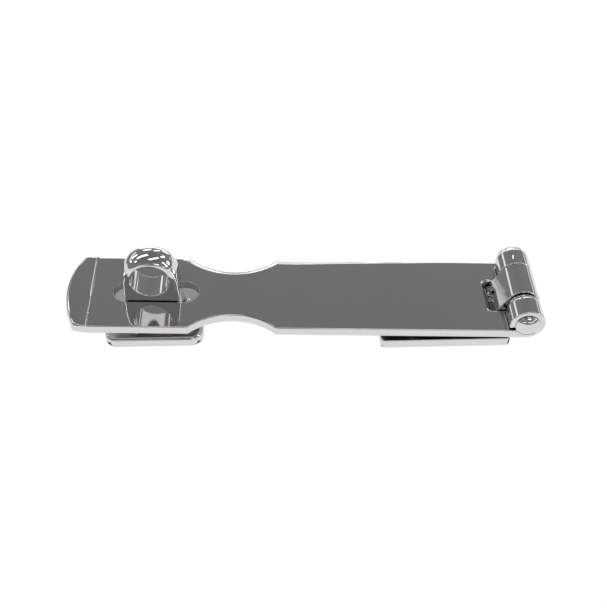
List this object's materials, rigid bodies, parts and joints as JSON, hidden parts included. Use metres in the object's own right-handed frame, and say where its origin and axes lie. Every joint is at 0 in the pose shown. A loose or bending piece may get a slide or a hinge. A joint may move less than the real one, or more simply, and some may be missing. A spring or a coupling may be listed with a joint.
{
  "type": "hasp and staple",
  "caption": "Slotted hinged strap with a necked middle and upturned tip, on a hinge leaf with a riveted pin, closing over a cast eye staple for a padlock.",
  "frame": {"origin": "centre of the hinge leaf's underside, on the surface it is screwed to", "axes": "+Z away from the mounting surface; the strap runs towards -X from the hinge to its tip; +Y along the hinge pin"},
  "size_m": [0.1189, 0.0284, 0.0224],
  "materials": {
    "strap_plate": "mirror polished plate",
    "leaf_plate": "mirror polished top and edges, satin underside",
    "pin": "polished rivet heads",
    "staple_casting": "polished casting, satin underside"
  },
  "bodies": {
    "staple": {"staple": "staple_casting"},
    "leaf": {"hinge_leaf": "leaf_plate"},
    "strap": {"strap": "strap_plate", "hinge_pin": "pin"}
  },
  "joints": [
    {"name": "hasp_lift", "type": "slide", "parent": "staple", "child": "leaf", "axis": [0, 0, 1], "range_m": [0, 0.025]},
    {"name": "strap_hinge", "type": "hinge", "parent": "leaf", "child": "strap", "pos_m": [0.01975, 0, 0.007], "axis": [0, 1, 0], "range_deg": [-2.25, 177.5]}
  ]
}
